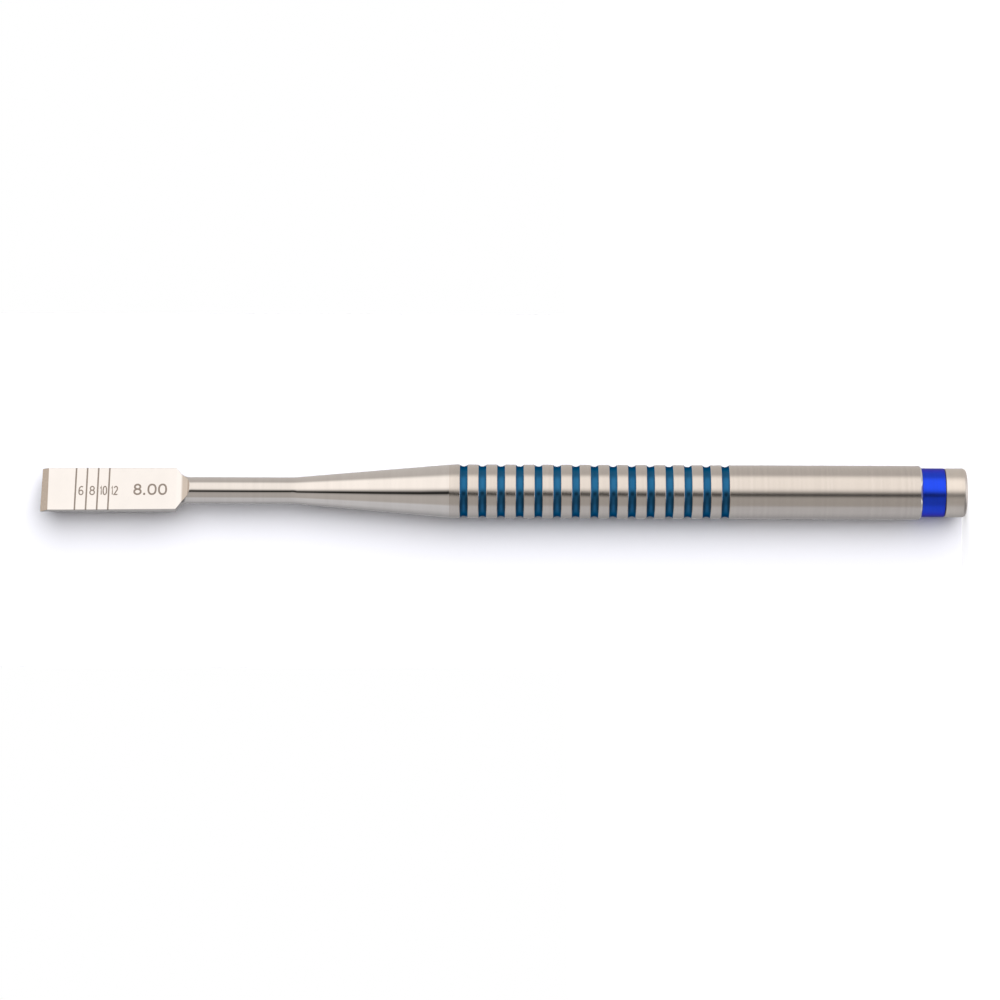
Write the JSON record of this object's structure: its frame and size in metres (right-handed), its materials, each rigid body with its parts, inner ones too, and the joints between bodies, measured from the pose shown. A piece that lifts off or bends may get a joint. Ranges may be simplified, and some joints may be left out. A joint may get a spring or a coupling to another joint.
{
  "type": "surgical chisel",
  "caption": "Slim steel surgical chisel with a flat single-bevel blade, a grooved round handle, a coloured ring and a striking cap.",
  "frame": {"origin": "under the middle of the struck face, on the surface that the tool stands on", "axes": "+Z along the tool from the struck end to the cutting edge, -Y out of the blade's bevelled face"},
  "size_m": [0.0096, 0.0096, 0.166],
  "materials": {
    "stainless_steel": "mirror polished blade and shank, satin handle with blue coated grooves",
    "blue_anodised_aluminium": "blue anodised, satin",
    "cap_steel": "satin turned"
  },
  "bodies": {
    "root": {"chisel_body": "stainless_steel", "colour_ring": "blue_anodised_aluminium", "striking_cap": "cap_steel"}
  },
  "joints": []
}
